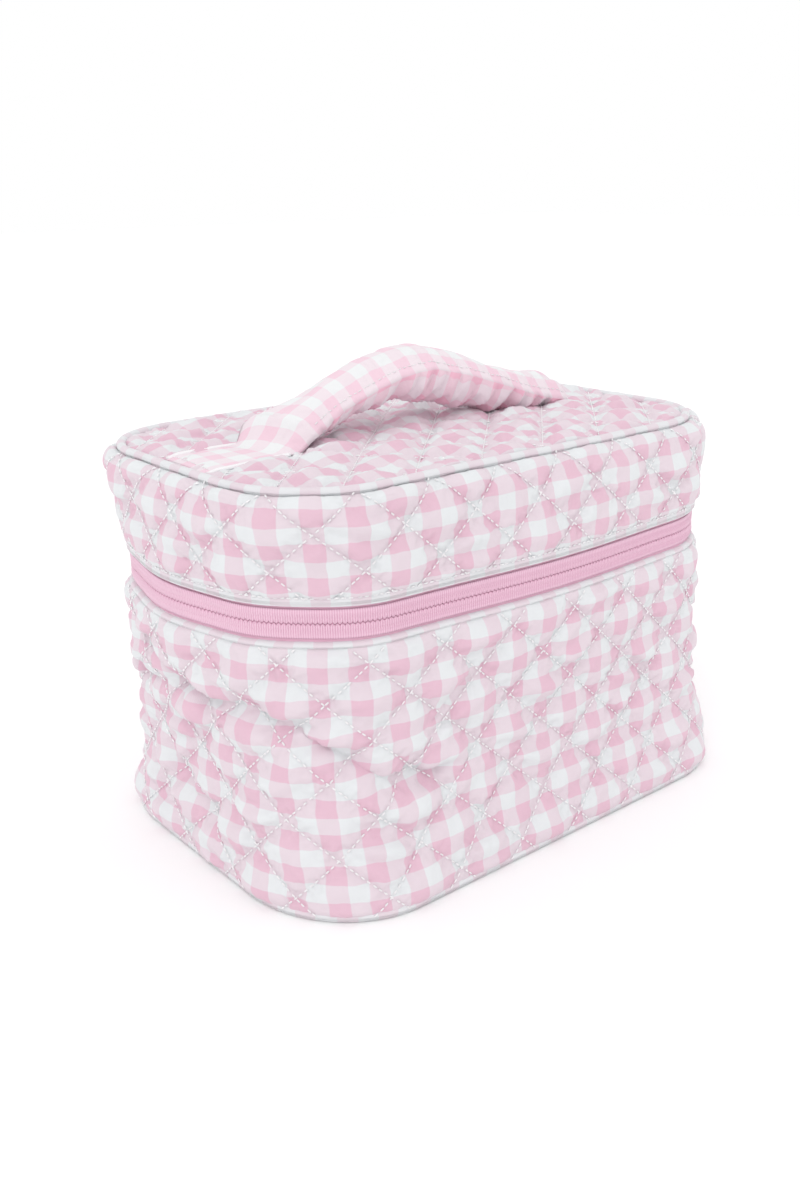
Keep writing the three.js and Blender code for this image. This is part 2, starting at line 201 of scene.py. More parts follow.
def slouch(s, z):
    """How the soft wall leaves its neat shape: swells everywhere, long waves and creases in the base wall."""
    total = 0.0
    for (s0, z0), (reach_s, reach_z), out in SWELLS:
        total = total + out * bump((s - s0) / reach_s) * bump((z - z0) / reach_z)
    total = total * smooth(z, 0, 14) * (1 - smooth(z, 136, 152))
    fade = smooth(z, 4, 22) * (1 - smooth(z, 80, 97))
    waves = 0.9 * ripple(s, z, 5, 3)
    for path, depth, width in CREASES:
        waves = waves + crease(s, z, path, depth, width)
    return total + waves * fade


# The cloth's own length round the bag, at the zipper
STEPS = np.linspace(0, AROUND, 1400)
RUN = lengths_along(wall_point(STEPS, ZIP_MID))
GIRTH = RUN[-1]
CELL = GIRTH / DIAMONDS_AROUND / CELLS
UP_CELL = CELL * 0.9          # the diamonds are a little wider than tall
DIAGONAL_CELL = CELL * 0.7    # a cell's size across the quilting lines
CHECK = GIRTH / CHECKS_AROUND
BASE_CHECK_UP, LID_CHECK_UP = 12.1, 11.7      # a repeat's height on the walls
STRAP_CHECK = 12.6


def run_at(s):
    return np.interp(s, STEPS, RUN)


def place_at(run):
    return np.interp(run, RUN, STEPS)


# ---- Meshes -----------------------------------------------------------------


def link(name, mesh):
    obj = bpy.data.objects.new(name, mesh)
    bpy.context.scene.collection.objects.link(obj)
    return obj


def make_piece(name, points, faces, material, body, slot, uv=None, replaces=()):
    """One smooth mesh object from points in millimetres; uv gives each point's place in the flat cloth."""
    mesh = bpy.data.meshes.new(name)
    points = np.asarray(points, float).reshape(-1, 3)
    mesh.from_pydata((points * MM).tolist(), [], [list(map(int, f)) for f in faces])
    mesh.update()
    if uv is not None:
        layer = mesh.uv_layers.new(name="cloth")
        corners = np.empty(len(mesh.loops), np.int32)
        mesh.loops.foreach_get("vertex_index", corners)
        layer.data.foreach_set("uv", np.asarray(uv, float).reshape(-1, 2)[corners].ravel())
    mesh.polygons.foreach_set("use_smooth", [True] * len(mesh.polygons))
    obj = link(name, mesh)
    mesh.materials.append(material)
    if body:
        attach(obj, body)
    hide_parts(*replaces)
    return obj


def grid_faces(rows, cols, wrap_rows=False, wrap_cols=False, flip=False):
    j, i = np.meshgrid(np.arange(rows - (not wrap_rows)), np.arange(cols - (not wrap_cols)), indexing="ij")
    j2, i2 = (j + 1) % rows, (i + 1) % cols
    quads = np.stack([j * cols + i, j * cols + i2, j2 * cols + i2, j2 * cols + i], -1).reshape(-1, 4)
    return quads[:, ::-1] if flip else quads


def capped(faces, rows, cols):
    """The faces of a row of rings, with flat ends added."""
    last = (rows - 1) * cols
    return [tuple(f) for f in faces] + [tuple(reversed(range(cols))), tuple(range(last, last + cols))]


def finer(grid):
    """Doubles a grid of points each way, along smooth curves through them."""
    for axis in (0, 1):
        p = np.moveaxis(grid, axis, 0)
        ends = np.concatenate([2 * p[:1] - p[1:2], p, 2 * p[-1:] - p[-2:-1]])
        middle = (9 * (p[:-1] + p[1:]) - ends[:-3] - ends[3:]) / 16
        out = np.empty((2 * len(p) - 1,) + p.shape[1:])
        out[::2], out[1::2] = p, middle
        grid = np.moveaxis(out, 0, axis)
    return grid


def normals_of(grid):
    """Unit normal at each point of a grid, from its neighbours."""
    n = np.cross(np.gradient(grid, axis=1), np.gradient(grid, axis=0))
    return n / np.maximum(np.linalg.norm(n, axis=-1, keepdims=True), 1e-9)


def thicken(points, faces, inward):
    """Closed cloth from an open surface: the surface, a copy moved by inward, and a rim round its edges."""
    points, faces, count = points.reshape(-1, 3), np.asarray(faces), points.size // 3
    sides = np.concatenate([np.stack([faces[:, k], faces[:, (k + 1) % 4]], -1) for k in range(4)])
    twins = sides[:, 1] * count + sides[:, 0]
    a, b = sides[~np.isin(sides[:, 0] * count + sides[:, 1], twins)].T
    rim = np.stack([b, a, a + count, b + count], -1)
    return (np.concatenate([points, points + np.reshape(inward, (-1, 3))]),
            np.concatenate([faces, faces[:, ::-1] + count, rim]))


def shell(grid, thick):
    """Points and faces of a thin closed cloth: the grid, and the same grid moved in by thick."""
    return thicken(grid, grid_faces(*grid.shape[:2]), -thick * normals_of(grid))


def twice(uv):
    """The flat places of a cloth's two faces."""
    return np.concatenate([uv.reshape(-1, 2)] * 2)


# ---- Quilting ---------------------------------------------------------------


def sewn_lines(rows, cols, row_phase, col_phase):
    """True where a grid point lies on a quilting line: both diagonals of the diamonds."""
    j, i = np.meshgrid(np.arange(rows) + row_phase, np.arange(cols) + col_phase, indexing="ij")
    return ((i + j) % CELLS == 0) | ((i - j) % CELLS == 0)


def quilt_triangles(rows, cols, row_phase, col_phase):
    """Triangles whose edges follow the quilting lines."""
    j, i = np.meshgrid(np.arange(rows - 1), np.arange(cols - 1), indexing="ij")
    rising = ((i + col_phase) - (j + row_phase)) % CELLS == 0
    falling = ((i + col_phase) + (j + row_phase) + 1) % CELLS == 0
    main = rising | (~falling & ((i + j) % 2 == 0))
    a, b = j * cols + i, j * cols + i + 1
    d, c = a + cols, b + cols
    first = np.where(main[..., None], np.stack([a, b, c], -1), np.stack([a, b, d], -1))
    second = np.where(main[..., None], np.stack([a, c, d], -1), np.stack([b, c, d], -1))
    return np.concatenate([first.reshape(-1, 3), second.reshape(-1, 3)])


def puff_share(rows, cols, row_phase, col_phase):
    """0 on a quilting line, 1 in the middle of a diamond."""
    def rise(t):
        return 1 - (2 * np.abs(t - 0.5)) ** 2.2

    j, i = np.meshgrid(np.arange(rows) + row_phase, np.arange(cols) + col_phase, indexing="ij")
    return rise(((i + j) / CELLS) % 1) * rise(((i - j) / CELLS) % 1)


def swell(points, faces, held, pressure=7.0, slack=0.05, frames=20, cap=4.2):
    """Blows cloth up from where it is held, by Blender's cloth simulation, and returns its points."""
    shape = points.shape
    flat = points.reshape(-1, 3)
    mesh = bpy.data.meshes.new("padding")
    mesh.from_pydata((flat * MM).tolist(), [], faces.tolist())
    obj = link("padding", mesh)
    group = obj.vertex_groups.new(name="sewn")
    group.add(np.flatnonzero(held.ravel()).tolist(), 1.0, "REPLACE")
    cloth = obj.modifiers.new("padding", "CLOTH")
    settings = cloth.settings
    settings.quality = 6
    settings.mass = 0.2
    settings.tension_stiffness = settings.compression_stiffness = 12
    settings.shear_stiffness = 4
    settings.bending_stiffness = 0.25
    settings.tension_damping = settings.compression_damping = settings.shear_damping = 4
    settings.use_pressure = True
    settings.uniform_pressure_force = pressure
    settings.effector_weights.gravity = 0
    settings.shrink_min = -slack
    settings.vertex_group_mass = "sewn"
    cloth.collision_settings.use_collision = False
    scene = bpy.context.scene
    cloth.point_cache.frame_start, cloth.point_cache.frame_end = 1, frames
    for frame_number in range(1, frames + 1):
        scene.frame_set(frame_number)
    result = obj.evaluated_get(bpy.context.evaluated_depsgraph_get()).to_mesh()
    moved = np.empty(len(flat) * 3)
    result.vertices.foreach_get("co", moved)
    moved = moved.reshape(-1, 3) / MM
    bpy.data.objects.remove(obj)
    scene.frame_set(1)
    step = moved - flat
    far = np.linalg.norm(step, axis=1, keepdims=True)
    step *= np.minimum(1, cap / np.maximum(far, 1e-9))
    return (flat + step).reshape(shape)


FORMED_SHARE, BLOWN_SHARE = 0.45, 0.55        # shares of a puff from the formula and from the simulation


def quilted(points, row_phase, col_phase, height):
    """Puffs a grid of cloth out between its quilting lines."""
    rows, cols = points.shape[:2]
    held = sewn_lines(rows, cols, row_phase, col_phase)
    held[0] = held[-1] = True
    held[:, 0] = held[:, -1] = True
    start = puff_share(rows, cols, row_phase, col_phase)
    start[held] = 0
    full = points + normals_of(points) * (height * start)[..., None]
    gentle = points + normals_of(points) * (0.5 * height * start)[..., None]
    gentle[~held] += RNG.normal(0, 0.04, gentle[~held].shape)
    blown = swell(gentle, quilt_triangles(rows, cols, row_phase, col_phase), held)
    return FORMED_SHARE * full + BLOWN_SHARE * blown


CREASE_SHARE = 3.0            # depth of the loose creases, in small gathers' depths


def pucker(fine, row_phase, col_phase, depth=0.46):
    """Small gathers on both sides of each quilting line and loose creases between, on a grid made finer."""
    rows, cols = fine.shape[:2]
    j, i = np.meshgrid(np.arange(rows) / 2 + row_phase, np.arange(cols) / 2 + col_phase, indexing="ij")
    total, clear = 0, 1
    for across, along in ((i + j, i - j), (i - j, i + j)):
        line = np.round(across / CELLS)
        away = np.abs(across - line * CELLS) * DIAGONAL_CELL
        wave = along * DIAGONAL_CELL * 2 * math.pi / PUCKER + 2.4 * line + 1.5 * np.sin(along * 0.21)
        total = total + bump((away - 2.4) / 1.7) * np.sin(wave)
        clear = clear * smooth(away, 0.5, 4)
    creases = np.sin(0.95 * j + 1.8 * np.sin(0.21 * i) + 1.2 * np.sin(0.33 * j + 0.12 * i))
    creases = creases * np.sin(0.13 * i - 0.09 * j) ** 2 * clear
    ends = smooth(np.minimum(np.arange(cols), np.arange(cols)[::-1]), 1, 10)
    edges = smooth(np.minimum(np.arange(rows), np.arange(rows)[::-1]), 0, 5)[:, None]
    return fine + normals_of(fine) * (depth * (total + CREASE_SHARE * creases) * ends * edges)[..., None]


# A stitch is a short spindle: rings of four points and two ends, along X, with Z away from the cloth
STITCH_SHAPE = np.array(
    [(-0.5, 0, -0.3)]
    + [(x, w * math.cos(a), 0.1 + w * math.sin(a)) for x, w in ((-0.36, 0.85), (0, 1.0), (0.36, 0.85))
       for a in (0, math.pi / 2, math.pi, 3 * math.pi / 2)]
    + [(0.5, 0, -0.3)])
STITCH_FACES = (
    [(0, 1 + (k + 1) % 4, 1 + k) for k in range(4)]
    + [(1 + 4 * r + k, 1 + 4 * r + (k + 1) % 4, 5 + 4 * r + (k + 1) % 4, 5 + 4 * r + k)
       for r in range(2) for k in range(4)]
    + [(9 + k, 9 + (k + 1) % 4, 13) for k in range(4)])
SHORTEST_STITCH = 0.3         # a shorter one, at the end of a line, is left out


def stitch_mesh(paths, width=THREAD_WIDTH):
    """Points and faces of stitches along paths; a path is (points, normals) in millimetres."""
    all_points, all_faces, count = [], [], 0
    for points, normals in paths:
        run = lengths_along(points)
        starts = np.arange(0.5, run[-1] - STITCH, STITCH_PITCH)
        starts = starts + RNG.uniform(-0.45, 0.45, len(starts))

        def at(distance, values):
            return np.array([np.interp(distance, run, values[:, k]) for k in range(3)])

        for start in starts:
            a, b = at(start, points), at(start + STITCH, points)
            n = at(start + STITCH / 2, normals)
            along = b - a
            size = np.linalg.norm(along)
            if size < SHORTEST_STITCH:
                continue
            along = along / size
            n = n - along * (n @ along)
            n /= max(np.linalg.norm(n), 1e-9)
            side = np.cross(n, along)
            local = STITCH_SHAPE * (size, width, width)
            all_points.append((a + b) / 2 + local @ np.stack([along, side, n]))
            all_faces.extend([tuple(v + count for v in f) for f in STITCH_FACES])
            count += len(STITCH_SHAPE)
    return np.concatenate(all_points), all_faces


def sew(name, paths, body, slot, width=THREAD_WIDTH):
    """A piece of white stitches along paths."""
    return make_piece(name, *stitch_mesh(paths, width), THREAD, body, slot)


def quilt_paths(points, row_phase, col_phase, lift, inside=None):
    """The quilting lines of a grid, as paths on its held points."""
    rows, cols = points.shape[:2]
    normals = normals_of(points)
    paths = []
    for direction in (1, -1):
        for start in range(-rows, cols + rows):
            j = np.arange(rows)
            i = start + direction * j
            key = (i + col_phase) - direction * (j + row_phase)
            if key[0] % CELLS:
                continue
            ok = (i >= 0) & (i < cols)
            if inside is not None:
                ok[ok] = inside[j[ok], i[ok]]
            if ok.sum() < 3:
                continue
            j, i = j[ok], i[ok]
            paths.append((points[j, i] + lift * normals[j, i], normals[j, i]))
    return paths


# ---- Materials --------------------------------------------------------------


class Nodes:
    """Short calls for a material's node tree."""

    def __init__(self, name):
        self.material = bpy.data.materials.new(name)
        self.material.use_nodes = True
        self.tree = self.material.node_tree
        self.shader = self.tree.nodes["Principled BSDF"]

    def add(self, kind, **settings):
        node = self.tree.nodes.new(kind)
        for key, value in settings.items():
            setattr(node, key, value)
        return node

    def link(self, source, target):
        self.tree.links.new(source, target)

    def math(self, operation, *values):
        node = self.add("ShaderNodeMath", operation=operation)
        for k, value in enumerate(values):
            if isinstance(value, (int, float)):
                node.inputs[k].default_value = value
            else:
                self.link(value, node.inputs[k])
        return node.outputs[0]

    def plus(self, a, b):
        return self.math("ADD", a, b)

    def minus(self, a, b):
        return self.math("SUBTRACT", a, b)

    def times(self, a, b):
        return self.math("MULTIPLY", a, b)

    def mix(self, factor, a, b):
        node = self.add("ShaderNodeMix", data_type="RGBA")
        for socket, value in ((node.inputs[0], factor), (node.inputs[6], a), (node.inputs[7], b)):
            if isinstance(value, (int, float, tuple)):
                socket.default_value = value
            else:
                self.link(value, socket)
        return node.outputs[2]

    def cloth_uv(self):
        """The flat cloth's two directions, in millimetres."""
        uv = self.add("ShaderNodeUVMap", uv_map="cloth")
        split = self.add("ShaderNodeSeparateXYZ")
        self.link(uv.outputs[0], split.inputs[0])
        return split.outputs[0], split.outputs[1], uv.outputs[0]

    def noise(self, vector, scale, detail=2.0, roughness=0.5):
        node = self.add("ShaderNodeTexNoise")
        node.inputs["Scale"].default_value = scale
        node.inputs["Detail"].default_value = detail
        node.inputs["Roughness"].default_value = roughness
        self.link(vector, node.inputs["Vector"])
        return node.outputs[0]

    def position(self):
        """Object position in millimetres."""
        place = self.add("ShaderNodeTexCoord").outputs["Object"]
        scaled = self.add("ShaderNodeVectorMath", operation="SCALE")
        scaled.inputs["Scale"].default_value = 1 / MM
        self.link(place, scaled.inputs[0])
        return scaled.outputs[0]

    def bump(self, height, distance):
        node = self.add("ShaderNodeBump")
        node.inputs["Strength"].default_value = 1.0
        node.inputs["Distance"].default_value = distance * MM
        self.link(height, node.inputs["Height"])
        self.link(node.outputs[0], self.shader.inputs["Normal"])

    def set(self, **values):
        for key, value in values.items():
            self.shader.inputs[key.replace("_", " ")].default_value = value


def linear(r, g, b):
    """Display colour, 0 to 255, as a linear colour."""
    def one(c):
        c /= 255
        return c / 12.92 if c <= 0.04045 else ((c + 0.055) / 1.055) ** 2.4
    return (one(r), one(g), one(b), 1.0)


WHITE = linear(225, 228, 230)
PINK = linear(224, 184, 201)
ZIP_PINK = linear(230, 184, 204)
# The strap's gingham has its own paler pink and white: painted top light, for the light that falls on the
# strap from above.
STRAP_PINK_PAINTED_TOP_LIGHT = linear(238, 204, 218)
STRAP_WHITE_PAINTED_TOP_LIGHT = linear(234, 236, 237)
UNDER_PINK_PAINTED_BOUNCE = linear(246, 189, 209)      # painted bounce light: a brighter, pinker copy where the strap faces down
UNDER_WHITE_PAINTED_BOUNCE = linear(245, 233, 239)
FADED = linear(232, 226, 230)           # a thin veil over the checks, uneven as worn cloth is
THREAD_WHITE = linear(252, 251, 252)


WEAVE = 0.62                  # pitch of the gingham's threads that shows


def gingham(name, check_u, check_v, shift=(0.0, 0.0), stripes=False, pink=PINK, white=WHITE):
    """Woven check: pink where both sets of threads are pink, pale pink where one is, white elsewhere.

    Stripes is for narrow trims, where only the crossing threads change colour.
    """
    m = Nodes(name)
    u, v, uv = m.cloth_uv()
    wobble = m.times(m.minus(m.noise(uv, 0.09, 3), 0.5), 1.6)
    weave = []
    for value, check, offset in ((u, check_u, shift[0]), (v, check_v, shift[1])):
        place = m.plus(m.plus(value, wobble), offset)
        wave = m.math("ABSOLUTE", m.minus(m.math("FRACT", m.math("DIVIDE", place, check)), 0.5))
        edge = m.add("ShaderNodeMapRange", interpolation_type="SMOOTHSTEP")
        m.link(wave, edge.inputs["Value"])
        edge.inputs["From Min"].default_value = 0.238
        edge.inputs["From Max"].default_value = 0.262
        weave.append(edge.outputs[0])
    warp, weft = weave
    if stripes:
        warp, weft = m.times(warp, 0.75), m.times(weft, 0.12)
    threads_u = m.math("SINE", m.times(u, 2 * math.pi / WEAVE))
    threads_v = m.math("SINE", m.times(v, 2 * math.pi / WEAVE))
    texture = m.times(threads_u, threads_v)
    slub = m.noise(uv, 1.4, 3, 0.6)
    # Half the threads show at each crossing, so a mixed check is a fine speckle of both colours
    share = m.plus(0.46, m.times(texture, 0.12))
    both = m.times(warp, weft)
    one = m.minus(m.plus(warp, weft), m.times(both, 2.0))
    dyed = m.plus(both, m.times(one, share))
    dyed = m.times(dyed, m.plus(0.86, m.times(slub, 0.28)))
    colour = m.mix(dyed, white, pink)
    faded = m.mix(m.times(m.noise(uv, 0.03, 2), 0.16), colour, FADED)
    m.link(faded, m.shader.inputs["Base Color"])
    m.set(Roughness=0.88, Sheen_Weight=0.25, Sheen_Roughness=0.5)
    m.shader.inputs["Specular IOR Level"].default_value = 0.25
    relief = m.plus(m.times(texture, 0.35), m.noise(uv, 2.2, 3, 0.6))
    m.bump(relief, 0.09)
    return m.material


def plain_cloth(name, colour, shade, thread=0.5, depth=0.08, sheen=0.25):
    """Plain weave in one colour, with slubs and a slightly uneven dye."""
    m = Nodes(name)
    place = m.position()
    split = m.add("ShaderNodeSeparateXYZ")
    m.link(place, split.inputs[0])
    waves = [m.math("SINE", m.times(split.outputs[k], 2 * math.pi / thread)) for k in range(3)]
    texture = m.times(m.plus(waves[0], waves[1]), waves[2])
    blotch = m.noise(place, 0.12, 3)
    m.link(m.mix(blotch, colour, shade), m.shader.inputs["Base Color"])
    m.set(Roughness=0.9, Sheen_Weight=sheen, Sheen_Roughness=0.5)
    m.bump(m.plus(m.times(texture, 0.4), m.noise(place, 2.5, 3)), depth)
    return m.material


def thread_material():
    m = Nodes("white_thread")
    place = m.position()
    wave = m.add("ShaderNodeTexWave", wave_type="BANDS", bands_direction="DIAGONAL")
    m.link(place, wave.inputs["Vector"])
    wave.inputs["Scale"].default_value = 1.1
    m.link(m.mix(m.times(wave.outputs[1], 0.3), THREAD_WHITE, linear(226, 219, 225)),
           m.shader.inputs["Base Color"])
    m.set(Roughness=0.45, Sheen_Weight=0.3)
    m.bump(wave.outputs[1], 0.05)
    return m.material


def coil_material(name, light, dark):
    """Nylon coil sewn to its tape, glossy, with a painted highlight on each turn and painted shade in the
    gaps between them.
    """
    m = Nodes(name)
    u, _, uv = m.cloth_uv()
    # Painted highlight and shade: lighter colour on each turn, darker in the gaps, at the coil's pitch.
    wave = m.math("COSINE", m.times(u, 2 * math.pi / RIB))
    turns = m.plus(0.5, m.times(wave, 0.5))
    uneven = m.noise(uv, 1.3, 3, 0.6)
    m.link(m.mix(m.times(turns, m.plus(0.6, m.times(uneven, 0.7))), dark, light),
           m.shader.inputs["Base Color"])
    m.link(m.plus(0.34, m.times(uneven, 0.2)), m.shader.inputs["Roughness"])
    m.bump(m.noise(uv, 3.0, 3), 0.03)
    return m.material


def metal(name, colour, metallic, rough):
    m = Nodes(name)
    place = m.position()
    m.link(m.mix(m.noise(place, 0.8, 3), colour, tuple(c * 0.86 for c in colour[:3]) + (1.0,)),
           m.shader.inputs["Base Color"])
    m.link(m.plus(rough, m.times(m.noise(place, 2.0, 4), 0.12)),
           m.shader.inputs["Roughness"])
    m.set(Metallic=metallic)
    m.bump(m.noise(place, 4.0, 4), 0.015)
    return m.material


BASE_CLOTH = gingham("gingham_base", CHECK, BASE_CHECK_UP, (-float(run_at(239.5)), -29.3))
LID_CLOTH = gingham("gingham_lid_band", CHECK, LID_CHECK_UP, (-float(run_at(241.5)), -133.7))
TOP_CLOTH = gingham("gingham_lid_top", 13.4, 13.0)
TRIM_CLOTH = gingham("gingham_trim", CHECK, 13.0, (-float(run_at(241.5)), 0.0), stripes=True)
# Paler copy of the gingham for the strap, carrying painted top light.
STRAP_CLOTH_PAINTED_TOP_LIGHT = gingham("gingham_strap", STRAP_CHECK, STRAP_CHECK, pink=STRAP_PINK_PAINTED_TOP_LIGHT, white=STRAP_WHITE_PAINTED_TOP_LIGHT)
# Copy of the strap's gingham with painted bounce light, for the strap's shaded underside.
UNDER_CLOTH_PAINTED_BOUNCE = gingham("gingham_strap_underside_painted_bounce", STRAP_CHECK, STRAP_CHECK, pink=UNDER_PINK_PAINTED_BOUNCE, white=UNDER_WHITE_PAINTED_BOUNCE)
FLOOR_CLOTH = gingham("gingham_floor", 13.0, 13.0)
HINGE_CLOTH = gingham("gingham_hinge", CHECK, 13.0)
PULL_CLOTH = gingham("gingham_pull", 7.0, 7.0)
THREAD = thread_material()
TAPE = plain_cloth("zipper_tape", ZIP_PINK, linear(221, 176, 197), thread=0.42, depth=0.05, sheen=0.15)
# The coil's two colours: a lighter one for the painted highlights on its turns, a darker one for the painted
# shade between them.
COIL = coil_material("zipper_coil", linear(236, 200, 217), linear(220, 170, 194))
LINING = plain_cloth("lining_cotton", linear(231, 225, 228), linear(225, 217, 222))
WADDING = plain_cloth("wadding", linear(229, 229, 227), linear(222, 222, 219), thread=3.1, depth=0.5,
                      sheen=0.1)
ENAMEL = metal("slider_enamel", linear(205, 132, 164), 0.3, 0.28)
NICKEL = metal("ring_nickel", linear(214, 210, 212), 1.0, 0.18)

# ---- Walls ------------------------------------------------------------------


def phases_at(s, z, z_low):
    """Row and column phases that bring a crossing of quilting lines to (s, z)."""
    return -round((z - z_low) / UP_CELL) % CELLS, -round(float(run_at(s)) / CELL) % CELLS


def wall_grid(z_low, z_high):
    """Grid of places round the bag, in cells that suit the quilting."""
    rows = int(round((z_high - z_low) / UP_CELL)) + 1
    around = place_at(np.linspace(0, GIRTH, DIAMONDS_AROUND * CELLS + 1))
    return np.meshgrid(around, np.linspace(z_low, z_high, rows))


ROLL_START, ROLL_RADIUS, ROLL_TURN = 145.4, 6.5, math.radians(72)
TUCK_REACH = 2.2              # how far from its edges a wall's cloth is tucked in


def roll_over(v):
    """Height and inward step of the lid's band at cloth height v: its top rolls in to the piping."""
    turn = np.clip((v - ROLL_START) / ROLL_RADIUS, 0, ROLL_TURN)
    return np.minimum(v, ROLL_START) + ROLL_RADIUS * np.sin(turn), -ROLL_RADIUS * (1 - np.cos(turn))


def wall_cloth(name, node, z_low, z_high, phases, cloth, tuck, body):
    """Outer cloth of a wall, puffed between its quilting lines, with its stitches."""
    s, z = wall_grid(z_low, z_high)
    height, rolled = roll_over(z)
    tucked = tuck * (bump((z - z_low) / TUCK_REACH) + 0.5 * bump((z - z_high) / TUCK_REACH))
    base = wall_point(s, height, rolled - tucked)
    fine = pucker(finer(quilted(base, *phases, PUFF)), *phases)
    uv = finer(np.stack([run_at(s), z], -1))
    piece = make_piece(name, *shell(fine, CLOTH), cloth, body, "gingham", uv=twice(uv), replaces=[node])
    sew(name + "_quilting", quilt_paths(base, *phases, lift=0.85), body, "gingham")


def wall_wadding(name, node, z_low, z_high, body):
    """Soft layer between the outer cloth and the lining, a little lumpy."""
    s, z = np.meshgrid(np.linspace(0, AROUND, 460), np.linspace(z_low, z_high, int((z_high - z_low) / 2.5)))
    lumps = 0.15 * np.sin(s / 3.1) * np.sin(z / 2.7)
    piece = make_piece(name, *shell(wall_point(s, z, -CLOTH - 1.3 + lumps), WADDING_THICK), WADDING, body,
                       "batting", uv=twice(np.stack([s, z], -1)), replaces=[node])


def wall_lining(name, node, z_low, z_high, phases, body):
    """Inner cloth, with shallow puffs towards the inside between the same quilting lines."""
    s, z = wall_grid(z_low, z_high)
    base = wall_point(s, z, -WALL_THICK)[:, ::-1]
    mirrored = (phases[0], (1 - s.shape[1] - phases[1]) % CELLS)
    puffs = 1.1 * puff_share(*s.shape, *mirrored)
    fine = finer(base + normals_of(base) * puffs[..., None])
    uv = finer(np.stack([run_at(s), z], -1)[:, ::-1])
    piece = make_piece(name, *shell(fine, CLOTH), LINING, body, "lining", uv=twice(uv), replaces=[node])
    sew(name + "_quilting", quilt_paths(base, *mirrored, lift=0.2), body, "lining")


def ring_sweep(name, profile, body, slot, node, wave, seed=5, wrap=0.0):
    """Sweeps a closed profile of (out, z) points round the bag; wrap is how much bias folds show in it."""
    s = np.linspace(0, AROUND, int(AROUND / RING_STEP), endpoint=False)
    s_grid, k = np.meshgrid(s, np.arange(len(profile)), indexing="ij")
    sway = wave * ripple(s_grid, 0, 7, seed)
    folds = wrap * np.sin(2 * math.pi * s_grid / 5.3 + 0.5 * k + 2 * ripple(s_grid, 0, 9, seed + 1))
    points = wall_point(s_grid, profile[:, 1] + sway, profile[:, 0] + folds)
    run = lengths_along(profile)
    uv = np.stack([run_at(s_grid), np.broadcast_to(run, s_grid.shape)], -1)
    faces = grid_faces(len(s), len(profile), wrap_rows=True, wrap_cols=True, flip=True)
    make_piece(name, points, faces, TRIM_CLOTH, body, slot, uv=uv, replaces=[node])


def round_profile(out, z, radius_out, radius_z, sides=12, square=1.0):
    """Closed profile; square over 1 makes it boxier."""
    angle = np.linspace(0, 2 * math.pi, sides, endpoint=False)
    across, up = np.cos(angle), np.sin(angle)
    return np.stack([out + radius_out * np.sign(across) * np.abs(across) ** (1 / square),
                     z + radius_z * np.sign(up) * np.abs(up) ** (1 / square)], -1)


def top_stitching(name, z, out, body):
    """One row of stitches round the bag."""
    s = np.arange(0, AROUND, 1.5)
    _, _, cx, cy = outline_frame(s)
    sew(name, [(wall_point(s, z, out), np.stack([cx, cy, 0 * cx], -1))], body, "binding")


RING_STEP = 2.0                                  # distance between the sections of a piping or binding
PIPING_OUT, PIPING_Z = -6.3, BODY_TOP + 0.5      # the top piping lies where the band has rolled in
# Where quilting lines cross near the front left corner: distance round the bag, and height
BASE_CROSSING, LID_CROSSING = (241.5, 79), (242, 140)


def build_walls():
    base_low, base_high = node_box("base_wall_outer")[0][2] - 2.4, RIM_LOW + 1.6
    lid_low, lid_high = HEM_TOP - 0.6, ROLL_START + ROLL_RADIUS * ROLL_TURN
    base_phases = phases_at(*BASE_CROSSING, base_low)
    lid_phases = phases_at(*LID_CROSSING, lid_low)
    wall_cloth("base_wall", "base_wall_outer", base_low, base_high, base_phases, BASE_CLOTH, 0.8, "base")
    wall_cloth("lid_band", "lid_band_outer", lid_low, lid_high, lid_phases, LID_CLOTH, 0.9, "lid")
    wall_wadding("base_wadding", "base_wall_batting", base_low + 2.6, base_high - 1.5, "base")
    wall_wadding("lid_band_wadding", "lid_band_batting", lid_low + 1.2, ROLL_START, "lid")
    wall_lining("base_lining", "base_wall_lining", base_low + 3.0, RIM_TOP - 2.0, base_phases, "base")
    wall_lining("lid_band_inner", "lid_band_lining", HEM_LOW + 2.0, ROLL_START + 0.5, lid_phases, "lid")


def build_trims():
    low, high = node_box("bottom_piping")
    ring_sweep("bottom_edge_piping", round_profile(-1.9, (low[2] + high[2]) / 2, 2.0, 1.95),
               "base", "gingham", "bottom_piping", wave=0.25, wrap=0.06)
    ring_sweep("mouth_binding", round_profile(-3.2, RIM_TOP - 1.35, 3.1, 1.4, 16, 1.2),
               "base", "binding", "base_rim_binding", wave=0.2, seed=8, wrap=0.08)
    ring_sweep("top_edge_piping", round_profile(PIPING_OUT, PIPING_Z, 1.9, 1.8),
               "lid", "gingham", "top_piping", wave=0.3, seed=9, wrap=0.08)
    ring_sweep("lid_hem", round_profile(-3.2, (HEM_LOW + HEM_TOP) / 2 + 0.3, 3.2, 2.2, 20, 1.9),
               "lid", "binding", "lid_rim_hem", wave=0.2, seed=12)
    top_stitching("lid_hem_stitches", HEM_TOP + 0.1, 0.15, "lid")
    top_stitching("mouth_binding_stitches", RIM_LOW - 0.3, -0.85, "base")
    for name, node, body in (("base_inner_binding", "base_seam_binding", "base"),
                             ("lid_inner_binding", "lid_seam_binding", "lid")):
        low, high = node_box(node)
        ring_sweep(name, round_profile(-WALL_THICK - 0.9, (low[2] + high[2]) / 2, 1.2, 2.1),
                   body, "binding", node, wave=0.2, wrap=0.1)


# ---- Zipper -----------------------------------------------------------------

ZIP_START, ZIP_END = HINGE_HALF + 0.9, AROUND - HINGE_HALF - 0.3
TAPE_WIDTH = 10.6             # the outer part lies under the binding or the hem
COIL_END = 542.7              # distance round the bag at which the coils end
COIL_WIDTH = 5.3              # of each half
TAPE_OUT, COIL_OUT = -2.3, -1.5       # where they lie, from the bag's side outwards
TOOTH = 0.34                  # how far the two halves of the coil reach into each other


